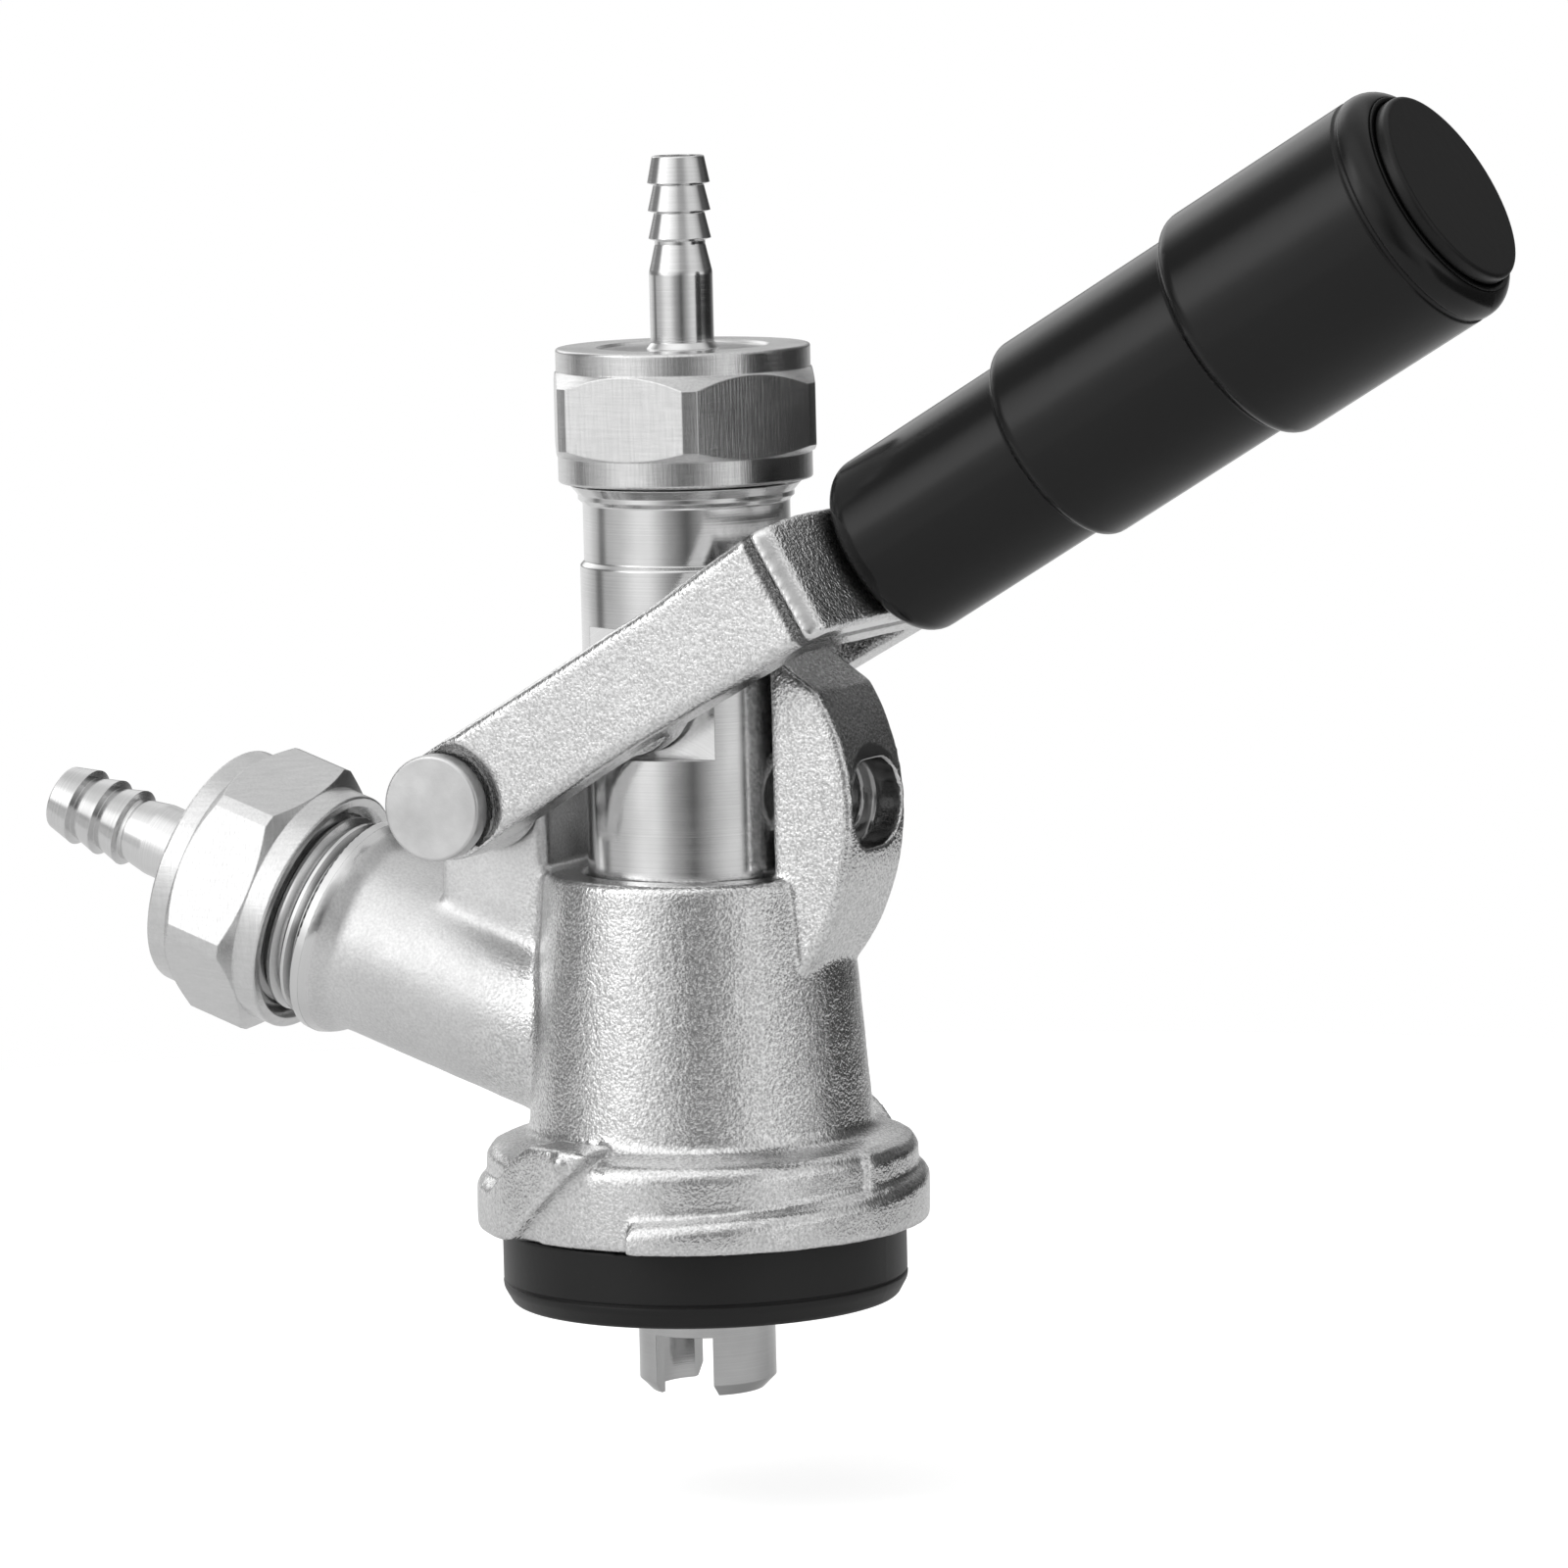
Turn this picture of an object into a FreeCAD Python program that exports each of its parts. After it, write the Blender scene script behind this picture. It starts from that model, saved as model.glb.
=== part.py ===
import FreeCAD, Part
import math
import os

# Twist-lock keg coupler. All sizes in millimetres.
# Frame: origin on the probe axis at the underside of the body seal, +Z up, +X toward the handle.

# Body casting, heights above the seal underside
BASE_BOTTOM = 8.4
LEDGE_Z = 17.5
CONE_FOOT_Z = 18.6
BODY_TOP = 47.2
SKIRT_R = 23.0
PAD_R = 23.6
LUG_R = 24.75
CONE_FOOT_R = 18.9
CONE_TOP_R = 16.5
CHAMBER_R = 14.5
CHAMBER_TOP = 31.0
SEAT_GROOVE_R = 20.4
SEAT_GROOVE_TOP = 12.6

# Twist-lock ramps, angle in degrees against height
RAMP_START = -82.7
RAMP_MID = 27.0
RAMP_LOW = 11.8
RAMP_HIGH = 14.5
RAMP_EDGE = 1.1
RIB_START = 47.0
RIB_STOP = 88.0
RIB_LOW_SLOPE = 0.36
RIB_HIGH_SLOPE = 0.305
RIB_TOP = 19.5
PAD_START = -12.7
PAD_STOP = 60.0
PAD_TOP = 17.9

# Ears cast on the body
EAR_HALF = 6.75
EAR_ROUND = 0.7
LUG_INNER_X = -15.1
CATCH_INNER_X = 12.9
CATCH_R = 26.6
CATCH_CX = -4.15
CATCH_CZ = 54.0
CATCH_TOP = 71.6
CATCH_SLOPE = 0.6964
PIP_R = 1.0
PIP_TURN = RIB_STOP - 8.5
PIP_Z = RIB_TOP - 1.4

# Probe
PROBE_R = 11.7
RUN_FIT = 0.05
NECK_R = 11.25
STEP_Z = 81.1
NECK_TOP = 87.3
COLLAR_R = 12.6
PROBE_LOW = 33.0
STEM_R = 7.5
TIP_Z = -10.1
PRONG_SLOT = 6.7
PRONG_TURN = 5.6
PRONG_TOP = -3.5
BEER_BORE_R = 4.5
FLAT_Y = 9.0
BALL_R = 4.9
BALL_BORE_R = 6.2
BALL_SEAT_Z = 84.0
BALL_LIFT = 1.5
BALL_RISE = 2.65

# Union nuts and tail pieces, same nut both sides
THREAD_R = 11.45
THREAD_PITCH = 1.81
THREAD_DEPTH = 0.75
NUT_AF = 27.8
NUT_LONG = 14.5
NUT_RING_R = 13.8
NUT_LOW_RING = 2.85
NUT_TOP_RING = 2.4
NUT_CORNER_R = 15.6
NUT_LIP = 3.0
NUT_HOLE_R = 9.05
NUT_Z = 89.6
FLANGE_R = 10.4
FLANGE_T = 2.55
WASHER_T = 2.0
BEER_STEM_R = 3.45
BEER_BARB_R = 3.4
BEER_TIP_Z = 124.6
GAS_STEM_R = 4.2
GAS_BARB_R = 4.45

# Gas branch, measured along its own axis from the probe axis
GAS_Z = 23.85
GAS_RISE = 19.35
GAS_NUT_AT = 49.8
GAS_TIP = 85.3
BOSS_R = 10.8
BOSS_END = 42.0
BOSS_COLLAR_R = 12.4
BOSS_COLLAR_END = 46.1
VALVE_R = 6.2
VALVE_FLANGE_R = 8.0
VALVE_FLANGE_T = 2.4
GAS_NUT_TURN = 14.2

# Pivot and lever. Distances along the lever start at the pivot
PIVOT_X = -21.0
PIVOT_Z = 55.4
LEVER_RISE = 30.7
PIN_R = 4.0
PIN_HEAD_R = 5.78
PIN_HEAD_T = 2.35
PIN_NECK_T = 0.95
ARM_IN = 12.2
ARM_OUT = 18.7
ARM_END_R = 6.1
ARM_WAIST = 5.85
ARM_WIDE = 6.5
ARM_ROUND = 1.2
SPOT_DEEP = 1.1
SPOT_R = 5.9
SPOT_FLARE = 1.4
CATCH_REACH = math.hypot(CATCH_CX - PIVOT_X, CATCH_CZ - PIVOT_Z) + CATCH_R
CROTCH_R = CATCH_REACH + 1.1
CROTCH_WALL = 3.7
CREASE_T = CROTCH_R + CROTCH_WALL
STRIP_LONG = 2.0
STRIP_IN = 1.15
GROOVE_WIDE = 1.45
HUB_LONG = STRIP_LONG + 1.1
HUB_END = CREASE_T + HUB_LONG
HUB_SIDE = 10.0
NECK_TUBE_R = 7.0
NECK_TUBE_LONG = 24.6
NECK_TUBE_END = HUB_END + NECK_TUBE_LONG
TUBE_BORE_R = 5.3
HUB_BORE_R = 4.6
BUSH_LONG = 4.0
DRIVE_T = 23.2
DRIVE_R = 6.5
DRIVE_GAP = 0.55

# Handle
GRIP_T = HUB_END + 0.5
GRIP_PARTS = (24.0, 24.0, 27.9)
GRIP_STEPS = (GRIP_T + GRIP_PARTS[0], GRIP_T + GRIP_PARTS[0] + GRIP_PARTS[1])
GRIP_R = (10.35, 11.75, 13.3)
GRIP_END = GRIP_T + sum(GRIP_PARTS)
CAP_R = 10.9
CAP_T = 1.2
ROD_R = 3.0
ROD_TIP = CATCH_REACH + 0.6
ROD_COLLAR = HUB_END + 1.6
GRIP_FLOOR = NECK_TUBE_END + 8.0
CAP_POCKET = GRIP_END - 14.8

# Seals
SEAL_R = 22.1
SEAL_TOP = 12.5
SEAL_LIP_R = 10.6
ORING_D = 2.6
ORING_Z = (36.5, 42.5)

ORIGIN = FreeCAD.Vector(0, 0, 0)
AX = FreeCAD.Vector(1, 0, 0)
AY = FreeCAD.Vector(0, 1, 0)
AZ = FreeCAD.Vector(0, 0, 1)


def vec(x, y, z):
    return FreeCAD.Vector(x, y, z)


def bend(a, b, c, r):
    # Start, middle and end of the arc that rounds corner b
    u = (a - b).normalize()
    w = (c - b).normalize()
    half = u.getAngle(w) / 2
    cut = r / math.tan(half)
    middle = (u + w).normalize()
    centre = b + middle * (r / math.sin(half))
    return b + u * cut, centre - middle * r, b + w * cut


def outline(corners):
    # Closed face in the XZ plane; a third number rounds the corner
    pts = [vec(c[0], 0, c[1]) for c in corners]
    spans = []
    for i, c in enumerate(corners):
        if len(c) == 3:
            spans.append(bend(pts[i - 1], pts[i], pts[(i + 1) % len(pts)], c[2]))
        else:
            spans.append((pts[i], None, pts[i]))
    edges = []
    for i, (start, middle, end) in enumerate(spans):
        if middle is not None:
            edges.append(Part.Arc(start, middle, end).toShape())
        following = spans[(i + 1) % len(spans)][0]
        if end.distanceToPoint(following) > 1e-6:
            edges.append(Part.makeLine(end, following))
    return Part.Face(Part.Wire(edges))


def turned(corners):
    return outline(corners).revolve(ORIGIN, AZ, 360)


def slab(corners, y0, y1):
    face = outline(corners)
    face.translate(vec(0, y0, 0))
    return face.extrude(vec(0, y1 - y0, 0))


def rod(r, a, b):
    # Cylinder between two points
    return Part.makeCylinder(r, (b - a).Length, a, b - a)


def ring(r0, r1, z0, z1):
    return turned([(r0, z0), (r1, z0), (r1, z1), (r0, z1)])


def softened(shape, r, keep):
    # Round the edges that the test accepts
    return shape.makeFillet(r, [e for e in shape.Edges if keep(e)])


def on_side_faces(e):
    ys = [abs(v.Point.y) for v in e.Vertexes]
    box = e.BoundBox
    return box.YLength < 1e-6 and max(ys) > 1


def twin(shape):
    # The shape and its copy half a turn round the probe axis
    other = shape.copy()
    other.rotate(ORIGIN, AZ, 180)
    return [shape, other]


def to_gas(shape):
    # From an upright piece to the gas branch
    shape.rotate(ORIGIN, AY, -(90 - GAS_RISE))
    shape.translate(vec(0, 0, GAS_Z))
    return shape


def to_lever(shape):
    # From a lever laid along +X with its pivot at the origin
    shape.rotate(ORIGIN, AY, -LEVER_RISE)
    shape.translate(vec(PIVOT_X, 0, PIVOT_Z))
    return shape


def along_lever(shape):
    # From an upright piece to the lever axis
    shape.rotate(ORIGIN, AY, 90)
    return to_lever(shape)


def thread_corners(z0, z1):
    # Ridge and root points up a threaded length
    pts = []
    z = z0
    while z + THREAD_PITCH <= z1:
        pts.append((THREAD_R - THREAD_DEPTH, z + 0.1 * THREAD_PITCH))
        pts.append((THREAD_R, z + 0.4 * THREAD_PITCH))
        pts.append((THREAD_R, z + 0.6 * THREAD_PITCH))
        pts.append((THREAD_R - THREAD_DEPTH, z + 0.9 * THREAD_PITCH))
        z += THREAD_PITCH
    return pts


def sector(a0, a1, z_at, r0, r1, step=6.0):
    # Wall between two radii whose foot and top follow the angle
    count = max(2, int(abs(a1 - a0) / step) + 1)
    wires = []
    for i in range(count):
        a = a0 + (a1 - a0) * i / (count - 1)
        low, high = z_at(a)
        c = math.cos(math.radians(a))
        s = math.sin(math.radians(a))
        reach = r1 * 1.05
        pts = [vec(r0 * c, r0 * s, low), vec(reach * c, reach * s, low)]
        pts += [vec(reach * c, reach * s, high), vec(r0 * c, r0 * s, high)]
        wires.append(Part.makePolygon(pts + [pts[0]]))
    wall = Part.makeLoft(wires, True, True)
    return wall.common(Part.makeCylinder(r1, 60))


def ramp_top(a):
    if a <= RAMP_MID:
        return RAMP_LOW + (RAMP_HIGH - RAMP_LOW) * (a - RAMP_START) / (RAMP_MID - RAMP_START)
    return RAMP_HIGH


def twist_ramp():
    # Long gentle ramp in two layers so that its outer top edge is eased
    inner = SKIRT_R - 1.5
    stop = RIB_START + 3
    low = sector(RAMP_START, stop, lambda a: (BASE_BOTTOM, ramp_top(a) - RAMP_EDGE), inner, LUG_R)
    high = sector(RAMP_START + 1.5, stop, lambda a: (BASE_BOTTOM + 0.5, ramp_top(a)), inner, LUG_R - RAMP_EDGE)
    middle = sector(RAMP_START + 0.7, stop, lambda a: (BASE_BOTTOM + 0.5, ramp_top(a) - RAMP_EDGE * 0.3), inner,
                    LUG_R - RAMP_EDGE * 0.35)
    return low.multiFuse([middle, high, steep_rib()])


def steep_rib():
    # Short steep rib from the high end of the ramp up to the ledge
    def heights(a):
        low = BASE_BOTTOM + RIB_LOW_SLOPE * (a - RIB_START - 12)
        high = RAMP_HIGH - RAMP_EDGE + RIB_HIGH_SLOPE * (a - RIB_START)
        return max(low, BASE_BOTTOM), min(high, RIB_TOP)
    return sector(RIB_START, RIB_STOP, heights, SKIRT_R - 3.5, LUG_R, 4.0)


def skirt_pad():
    # Raised pad on the skirt above the ramp
    pad = sector(PAD_START, PAD_STOP, lambda a: (BASE_BOTTOM + 2, PAD_TOP - 1.2), SKIRT_R - 3, PAD_R)
    top = sector(PAD_START + 1, PAD_STOP, lambda a: (BASE_BOTTOM + 2, PAD_TOP), SKIRT_R - 4, PAD_R - 1.6)
    middle = sector(PAD_START + 0.5, PAD_STOP, lambda a: (BASE_BOTTOM + 2, PAD_TOP - 0.4), SKIRT_R - 4, PAD_R - 0.5)
    return pad.multiFuse([middle, top])


def pivot_lug():
    r = 6.6
    foot = 34
    lug = slab([(LUG_INNER_X, foot), (LUG_INNER_X, PIVOT_Z + r, 4), (PIVOT_X - r, PIVOT_Z + r, 6.4),
                (PIVOT_X - r - 1, foot)], -EAR_HALF, EAR_HALF)
    return softened(lug, EAR_ROUND, on_side_faces)


def catch_ear():
    # Curved ear that the locking pin drops into
    disc = Part.makeCylinder(CATCH_R, 2 * EAR_HALF, vec(CATCH_CX, -EAR_HALF, CATCH_CZ), AY)
    beyond = 2 * CATCH_R
    low = CATCH_TOP - CATCH_SLOPE * (beyond - CATCH_INNER_X)
    top = slab([(CATCH_INNER_X, 30), (beyond, 30), (beyond, low), (CATCH_INNER_X, CATCH_TOP)], -EAR_HALF, EAR_HALF)
    ear = disc.common(top)
    ear = softened(ear, EAR_ROUND, on_side_faces)
    return ear


def catch_hole():
    # Wide counterbore with a round way through for the pin
    wide = 5.9
    high = 4.75
    drop = 0.35
    shallow = 3.6
    x0 = CATCH_CX + CATCH_R - shallow
    a = vec(x0, -(wide - high), PIVOT_Z - drop)
    b = vec(x0, wide - high, PIVOT_Z - drop)
    cut = Part.makeCylinder(high, 12, a, AX).fuse(Part.makeCylinder(high, 12, b, AX))
    cut = cut.fuse(Part.makeBox(12, 2 * (wide - high), 2 * high, vec(x0, high - wide, PIVOT_Z - drop - high)))
    through = Part.makeCylinder(ROD_R + 0.5, 20, vec(CATCH_INNER_X - 1, 0, PIVOT_Z), AX)
    return cut.fuse(through)


def cast_pip():
    # Small knob left by the mould on the end of the steep rib
    a = math.radians(PIP_TURN)
    r = LUG_R - PIP_R * 0.35
    return Part.makeSphere(PIP_R, vec(r * math.cos(a), r * math.sin(a), PIP_Z))


def gas_boss():
    spud_end = GAS_NUT_AT + NUT_LONG - NUT_LIP - FLANGE_T - VALVE_FLANGE_T
    root = THREAD_R - THREAD_DEPTH
    pts = [(0, 4), (BOSS_R - 0.3, 4), (BOSS_R, BOSS_END, 1.5), (BOSS_COLLAR_R - 0.5, BOSS_END + 1.6, 1.5),
           (BOSS_COLLAR_R, BOSS_COLLAR_END - 1.2, 0.6), (BOSS_COLLAR_R, BOSS_COLLAR_END, 0.4),
           (root, BOSS_COLLAR_END + 0.5)]
    pts += thread_corners(BOSS_COLLAR_END + 0.7, spud_end - 0.4)
    pts += [(root, spud_end), (0, spud_end)]
    return to_gas(turned(pts))


def gas_ways():
    # Valve bore and the narrower way into the chamber
    spud_end = GAS_NUT_AT + NUT_LONG - NUT_LIP - FLANGE_T - VALVE_FLANGE_T
    bore = turned([(0, 6), (4.5, 6), (4.5, 35), (VALVE_R + 0.25, 36.5), (VALVE_R + 0.25, spud_end + 1),
                   (0, spud_end + 1)])
    return to_gas(bore)


def body_casting():
    pts = [(0, BASE_BOTTOM), (SKIRT_R, BASE_BOTTOM, 0.4), (SKIRT_R, LEDGE_Z, 1.8), (CONE_FOOT_R, CONE_FOOT_Z, 1.4),
           (CONE_TOP_R, BODY_TOP, 0.8), (0, BODY_TOP)]
    shell = turned(pts)
    adds = [gas_boss(), pivot_lug(), catch_ear()]
    adds += twin(twist_ramp()) + twin(skirt_pad()) + twin(cast_pip())
    shell = shell.multiFuse(adds)
    bore = PROBE_R + RUN_FIT
    inside = turned([(0, BASE_BOTTOM - 1), (SEAT_GROOVE_R, BASE_BOTTOM - 1), (SEAT_GROOVE_R, SEAT_GROOVE_TOP),
                     (CHAMBER_R, SEAT_GROOVE_TOP), (CHAMBER_R, CHAMBER_TOP - 2), (bore, CHAMBER_TOP),
                     (bore, BODY_TOP - 0.6), (bore + 0.7, BODY_TOP), (bore + 0.7, BODY_TOP + 1),
                     (0, BODY_TOP + 1)])
    cuts = [inside, gas_ways(), catch_hole()]
    for z in ORING_Z:
        cuts.append(ring(bore - 1, bore + ORING_D, z - ORING_D / 2 - 0.2, z + ORING_D / 2 + 0.2))
    pin = vec(PIVOT_X, 0, PIVOT_Z)
    cuts.append(rod(PIN_R, pin - AY * 20, pin + AY * 20))
    return shell.cut(cuts).removeSplitter()


def body_seal():
    return turned([(SEAL_R - 1.0, 0, 0.8), (SEAL_R, 1.8, 1.2), (SEAL_R + 0.05, 2.4, 0.1), (SEAL_R - 0.2, 2.5),
                   (SEAL_R - 0.2, 2.7), (SEAL_R, 2.8), (SEAL_R, BASE_BOTTOM - 0.1, 0.3),
                   (SEAT_GROOVE_R - 0.1, BASE_BOTTOM - 0.1), (SEAT_GROOVE_R - 0.1, SEAL_TOP, 0.6),
                   (12.4, SEAL_TOP, 0.6), (12.4, 5.4, 0.8), (SEAL_LIP_R, 3.4, 0.5), (SEAL_LIP_R, 1.2, 0.5),
                   (12.0, 0, 0.6)])


def bore_orings():
    rings = []
    for z in ORING_Z:
        centre = PROBE_R + RUN_FIT + ORING_D / 2
        rings.append(Part.makeTorus(centre, ORING_D / 2, vec(0, 0, z)))
    return Part.makeCompound(rings)


def union_nut():
    # Base at z 0, plain ring, hexagon with turned corners, plain ring
    hexagon = []
    for i in range(6):
        a = math.radians(60 * i)
        r = NUT_AF / 2 / math.cos(math.radians(30))
        hexagon.append(vec(r * math.cos(a), r * math.sin(a), 0))
    prism = Part.Face(Part.makePolygon(hexagon + [hexagon[0]])).extrude(AZ * NUT_LONG)
    low = NUT_LOW_RING
    top = NUT_LONG - NUT_TOP_RING
    flat_r = NUT_AF / 2 - 0.15
    rise = 1.5
    turned_hex = turned([(0, low), (flat_r, low), (NUT_CORNER_R, low + rise * 0.7),
                         (NUT_CORNER_R, top - rise), (flat_r, top), (0, top)])
    nut = prism.common(turned_hex)
    nut = nut.fuse(turned([(0, 0), (NUT_RING_R, 0, 0.3), (NUT_RING_R, NUT_LONG, 0.3), (0, NUT_LONG)]))
    cavity = THREAD_R + RUN_FIT
    floor = NUT_LONG - NUT_LIP
    hole = turned([(0, -1), (cavity + 1.2, -1), (cavity + 1.2, 0), (cavity, 1.0), (cavity, floor),
                   (NUT_HOLE_R, floor), (NUT_HOLE_R, NUT_LONG - 0.3), (NUT_HOLE_R + 0.3, NUT_LONG),
                   (NUT_HOLE_R + 0.3, NUT_LONG + 1), (0, NUT_LONG + 1)])
    return nut.cut(hole)


def barbs(r, root, tip_r, end, pitch, count):
    # Ridges from the tip down, listed from the tip to the root
    pts = [(tip_r, end, 0.2)]
    z = end
    for i in range(count):
        z -= pitch
        pts.append((r, z + 0.1))
        pts.append((root, z - 0.15))
    return pts


def tail_piece(stem, r, root, tip_r, tip, pitch, bore):
    # In the frame of its nut: the flange sits under the nut lip
    floor = NUT_LONG - NUT_LIP
    ridges = barbs(r, root, tip_r, tip, pitch, 3)
    last = ridges[-1][1]
    pts = [(bore, tip), (bore, floor - FLANGE_T), (FLANGE_R, floor - FLANGE_T), (FLANGE_R, floor - 0.05),
           (NUT_HOLE_R - 0.1, floor - 0.05), (NUT_HOLE_R - 0.1, NUT_LONG - 0.25, 0.2),
           (stem + 0.5, NUT_LONG - 0.25), (stem, NUT_LONG + 0.4), (stem, last - 3.4, 2.0), (root, last - 0.4)]
    pts += list(reversed(ridges))
    return turned(pts)


def beer_tail():
    tail = tail_piece(BEER_STEM_R, BEER_BARB_R, 2.75, 2.82, BEER_TIP_Z - NUT_Z, 3.0, 2.1)
    tail.translate(vec(0, 0, NUT_Z))
    return tail


def gas_tail():
    return to_gas_nut(tail_piece(GAS_STEM_R, GAS_BARB_R, 3.65, 3.7, GAS_TIP - GAS_NUT_AT, 3.2, 2.9))


def to_gas_nut(shape):
    shape.translate(vec(0, 0, GAS_NUT_AT))
    return to_gas(shape)


def beer_nut():
    nut = union_nut()
    nut.translate(vec(0, 0, NUT_Z))
    return nut


def gas_nut():
    nut = union_nut()
    nut.rotate(ORIGIN, AZ, GAS_NUT_TURN)
    return to_gas_nut(nut)


def beer_washer():
    top = NUT_Z + NUT_LONG - NUT_LIP - FLANGE_T
    return ring(BEER_BORE_R, FLANGE_R, top - WASHER_T, top)


def gas_check_valve():
    # Soft valve: flange, tube and a beak that closes on a line
    floor = NUT_LONG - NUT_LIP - FLANGE_T
    tube = turned([(0, floor - 11), (VALVE_R, floor - 11), (VALVE_R, floor - VALVE_FLANGE_T),
                   (VALVE_FLANGE_R, floor - VALVE_FLANGE_T, 0.4), (VALVE_FLANGE_R, floor, 0.4), (0, floor)])
    beak = slab([(-VALVE_R, floor - 10.5), (VALVE_R, floor - 10.5), (0.7, floor - 18.4), (-0.7, floor - 18.4)],
                -VALVE_R, VALVE_R).common(Part.makeCylinder(VALVE_R, 12, vec(0, 0, floor - 20)))
    inner = turned([(0, floor - 11.5), (VALVE_R - 1.3, floor - 11.5), (VALVE_R - 1.3, floor + 1), (0, floor + 1)])
    slot = slab([(-VALVE_R + 1.3, floor - 11), (VALVE_R - 1.3, floor - 11), (0.15, floor - 19),
                 (-0.15, floor - 19)], -VALVE_R + 1.6, VALVE_R - 1.6)
    return to_gas_nut(tube.fuse(beak).cut([inner, slot]))


def probe():
    spud_top = NUT_Z + NUT_LONG - NUT_LIP - FLANGE_T - WASHER_T
    pts = [(BEER_BORE_R, TIP_Z), (STEM_R - 1.3, TIP_Z), (STEM_R, TIP_Z + 1.3), (STEM_R, 1.9),
           (STEM_R - 1.0, 1.9), (STEM_R - 1.0, 6.1), (STEM_R, 6.1), (STEM_R, PROBE_LOW - 3.6, 1.0),
           (PROBE_R - 1.0, PROBE_LOW - 1.0, 0.5), (PROBE_R, PROBE_LOW), (PROBE_R, STEP_Z - 0.5, 0.3),
           (NECK_R, STEP_Z, 0.2), (NECK_R, NECK_TOP, 0.4), (NECK_R + 0.5, NECK_TOP + 0.5),
           (NECK_R + 0.5, NECK_TOP + 1.0), (COLLAR_R, NECK_TOP + 2.0), (THREAD_R - THREAD_DEPTH, NECK_TOP + 2.1)]
    pts += thread_corners(NECK_TOP + 2.3, spud_top - 0.3)
    pts += [(THREAD_R - THREAD_DEPTH, spud_top), (BALL_BORE_R, spud_top), (BALL_BORE_R, BALL_SEAT_Z + 2),
            (BEER_BORE_R, BALL_SEAT_Z)]
    shape = turned(pts)
    slot = Part.makeBox(2 * STEM_R + 4, PRONG_SLOT, PRONG_TOP - TIP_Z + 5,
                        vec(-STEM_R - 2, -PRONG_SLOT / 2, TIP_Z - 5))
    slot.rotate(ORIGIN, AZ, 90 + PRONG_TURN)
    mouth = Part.makeCylinder(STEM_R - 2.0, PRONG_TOP - TIP_Z + 5, vec(0, 0, TIP_Z - 5))
    middle = PIVOT_Z + DRIVE_T * math.sin(math.radians(LEVER_RISE))
    half = DRIVE_R + DRIVE_GAP
    cuts = [slot, mouth]
    for side in (-1, 1):
        y0 = FLAT_Y if side > 0 else -FLAT_Y - PROBE_R
        cuts.append(Part.makeBox(4 * PROBE_R, PROBE_R, 2 * half, vec(-2 * PROBE_R, y0, middle - half)))
    return shape.cut(cuts)


def probe_seal():
    return turned([(STEM_R - 0.95, 1.95), (STEM_R + 1.4, 1.95, 0.3), (STEM_R + 2.1, 4.0, 0.5),
                   (STEM_R + 1.2, 6.05, 0.3), (STEM_R - 0.95, 6.05)])


def check_ball():
    return Part.makeSphere(BALL_R, vec(0, 0, BALL_SEAT_Z + BALL_RISE))


def ball_cage():
    # Spider that stops the ball above its seat
    low = BALL_SEAT_Z + BALL_RISE + BALL_R + BALL_LIFT + 0.35
    cage = ring(BALL_BORE_R - 1.3, BALL_BORE_R, low, low + 2.0)
    for i in range(3):
        bar = Part.makeBox(BALL_BORE_R - 0.6, 1.4, 1.0, vec(0, -0.7, low))
        bar.rotate(ORIGIN, AZ, 120 * i)
        cage = cage.fuse(bar)
    return cage


def pivot_pin():
    out = ARM_OUT - SPOT_DEEP + 0.1
    under = -out - PIN_NECK_T
    top = under - PIN_HEAD_T
    pts = [(0, top), (PIN_HEAD_R, top, 0.35), (PIN_HEAD_R, under, 0.3), (PIN_R + 0.6, under), (PIN_R + 0.6, -out),
           (PIN_R, -out), (PIN_R, out + 0.1), (PIN_R - 0.8, out + 0.1), (PIN_R - 0.8, out + 1.1),
           (PIN_R, out + 1.1), (PIN_R, out + 2.2, 0.4), (0, out + 2.2)]
    pin = turned(pts)
    pin.rotate(ORIGIN, AX, -90)
    pin.translate(vec(PIVOT_X, 0, PIVOT_Z))
    return pin


def pin_clip():
    # Open retaining ring on the far end of the pin
    out = ARM_OUT - SPOT_DEEP + 0.25
    clip = ring(PIN_R - 0.75, PIN_R + 1.6, out, out + 0.9)
    clip = clip.cut(Part.makeBox(10, 4.4, 4, vec(0, -2.2, out - 1)))
    clip.rotate(ORIGIN, AX, -90)
    clip.translate(vec(PIVOT_X, 0, PIVOT_Z))
    return clip


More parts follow.
